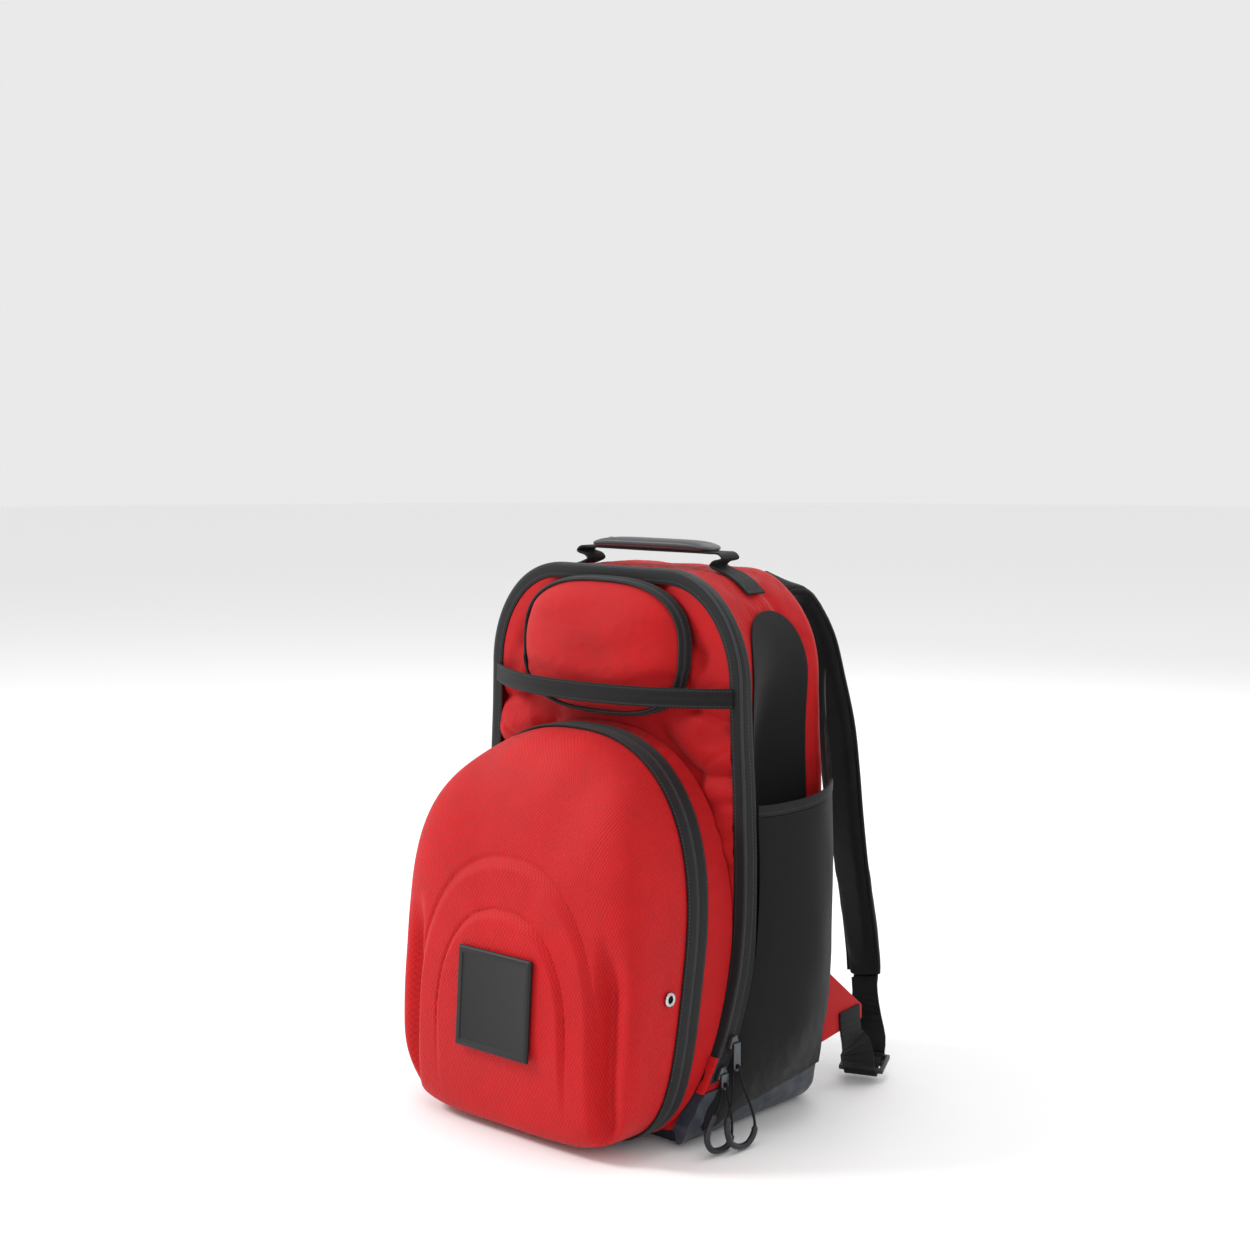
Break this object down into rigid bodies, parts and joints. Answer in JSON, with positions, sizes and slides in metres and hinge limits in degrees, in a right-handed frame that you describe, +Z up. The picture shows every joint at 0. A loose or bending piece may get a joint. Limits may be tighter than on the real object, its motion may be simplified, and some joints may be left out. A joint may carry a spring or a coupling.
{
  "type": "baseball bat backpack",
  "caption": "Backpack with a bat sleeve on each flank, a moulded zipped front pocket, a small upper pocket, a strap across the front, a grab handle and padded shoulder straps.",
  "frame": {"origin": "on the floor, midway across the bag, below the middle of its body", "axes": "+Z up, -Y towards the front pockets, +Y towards the wearer, X across"},
  "size_m": [0.3864, 0.4122, 0.5295],
  "materials": {
    "fabric": "matt ripstop weave",
    "moulded": "matt moulded foam laminate with a honeycomb weave",
    "webbing": "matt woven webbing and zip tape",
    "stretch": "matt stretch knit",
    "boot": "coated, semi-matt",
    "rubber": "satin",
    "mesh": "padded spacer mesh",
    "grip": "matt moulded foam",
    "plastic": "satin",
    "metal": "satin"
  },
  "bodies": {
    "root": {"main_shell": "fabric", "front_panel": "fabric", "lower_pocket_gusset": "fabric", "upper_pocket": "fabric", "strap_anchor_right": "fabric", "strap_anchor_left": "fabric", "zip_end_right": "fabric", "zip_end_left": "fabric", "lower_pocket": "moulded", "main_zip": "webbing", "lower_pocket_zip": "webbing", "upper_pocket_zip": "webbing", "helmet_strap": "webbing", "sleeve_binding_right": "webbing", "sleeve_binding_left": "webbing", "handle_webbing": "webbing", "pad_webbing_right": "webbing", "pad_webbing_left": "webbing", "anchor_webbing_right": "webbing", "anchor_webbing_left": "webbing", "pull_cord_upper": "webbing", "pull_cord_lower": "webbing", "pull_grip_upper": "webbing", "pull_grip_lower": "webbing", "bat_sleeve_right": "stretch", "bat_sleeve_left": "stretch", "bat_channel_right": "stretch", "bat_channel_left": "stretch", "base_boot": "boot", "patch": "rubber", "back_pad": "mesh", "shoulder_strap_right": "mesh", "shoulder_strap_left": "mesh", "handle_grip": "grip", "ladder_lock_right": "plastic", "ladder_lock_left": "plastic", "eyelet_right": "metal", "eyelet_left": "metal", "zip_slider_upper": "metal", "zip_slider_lower": "metal", "pull_tab_upper": "metal", "pull_tab_lower": "metal"}
  },
  "joints": []
}
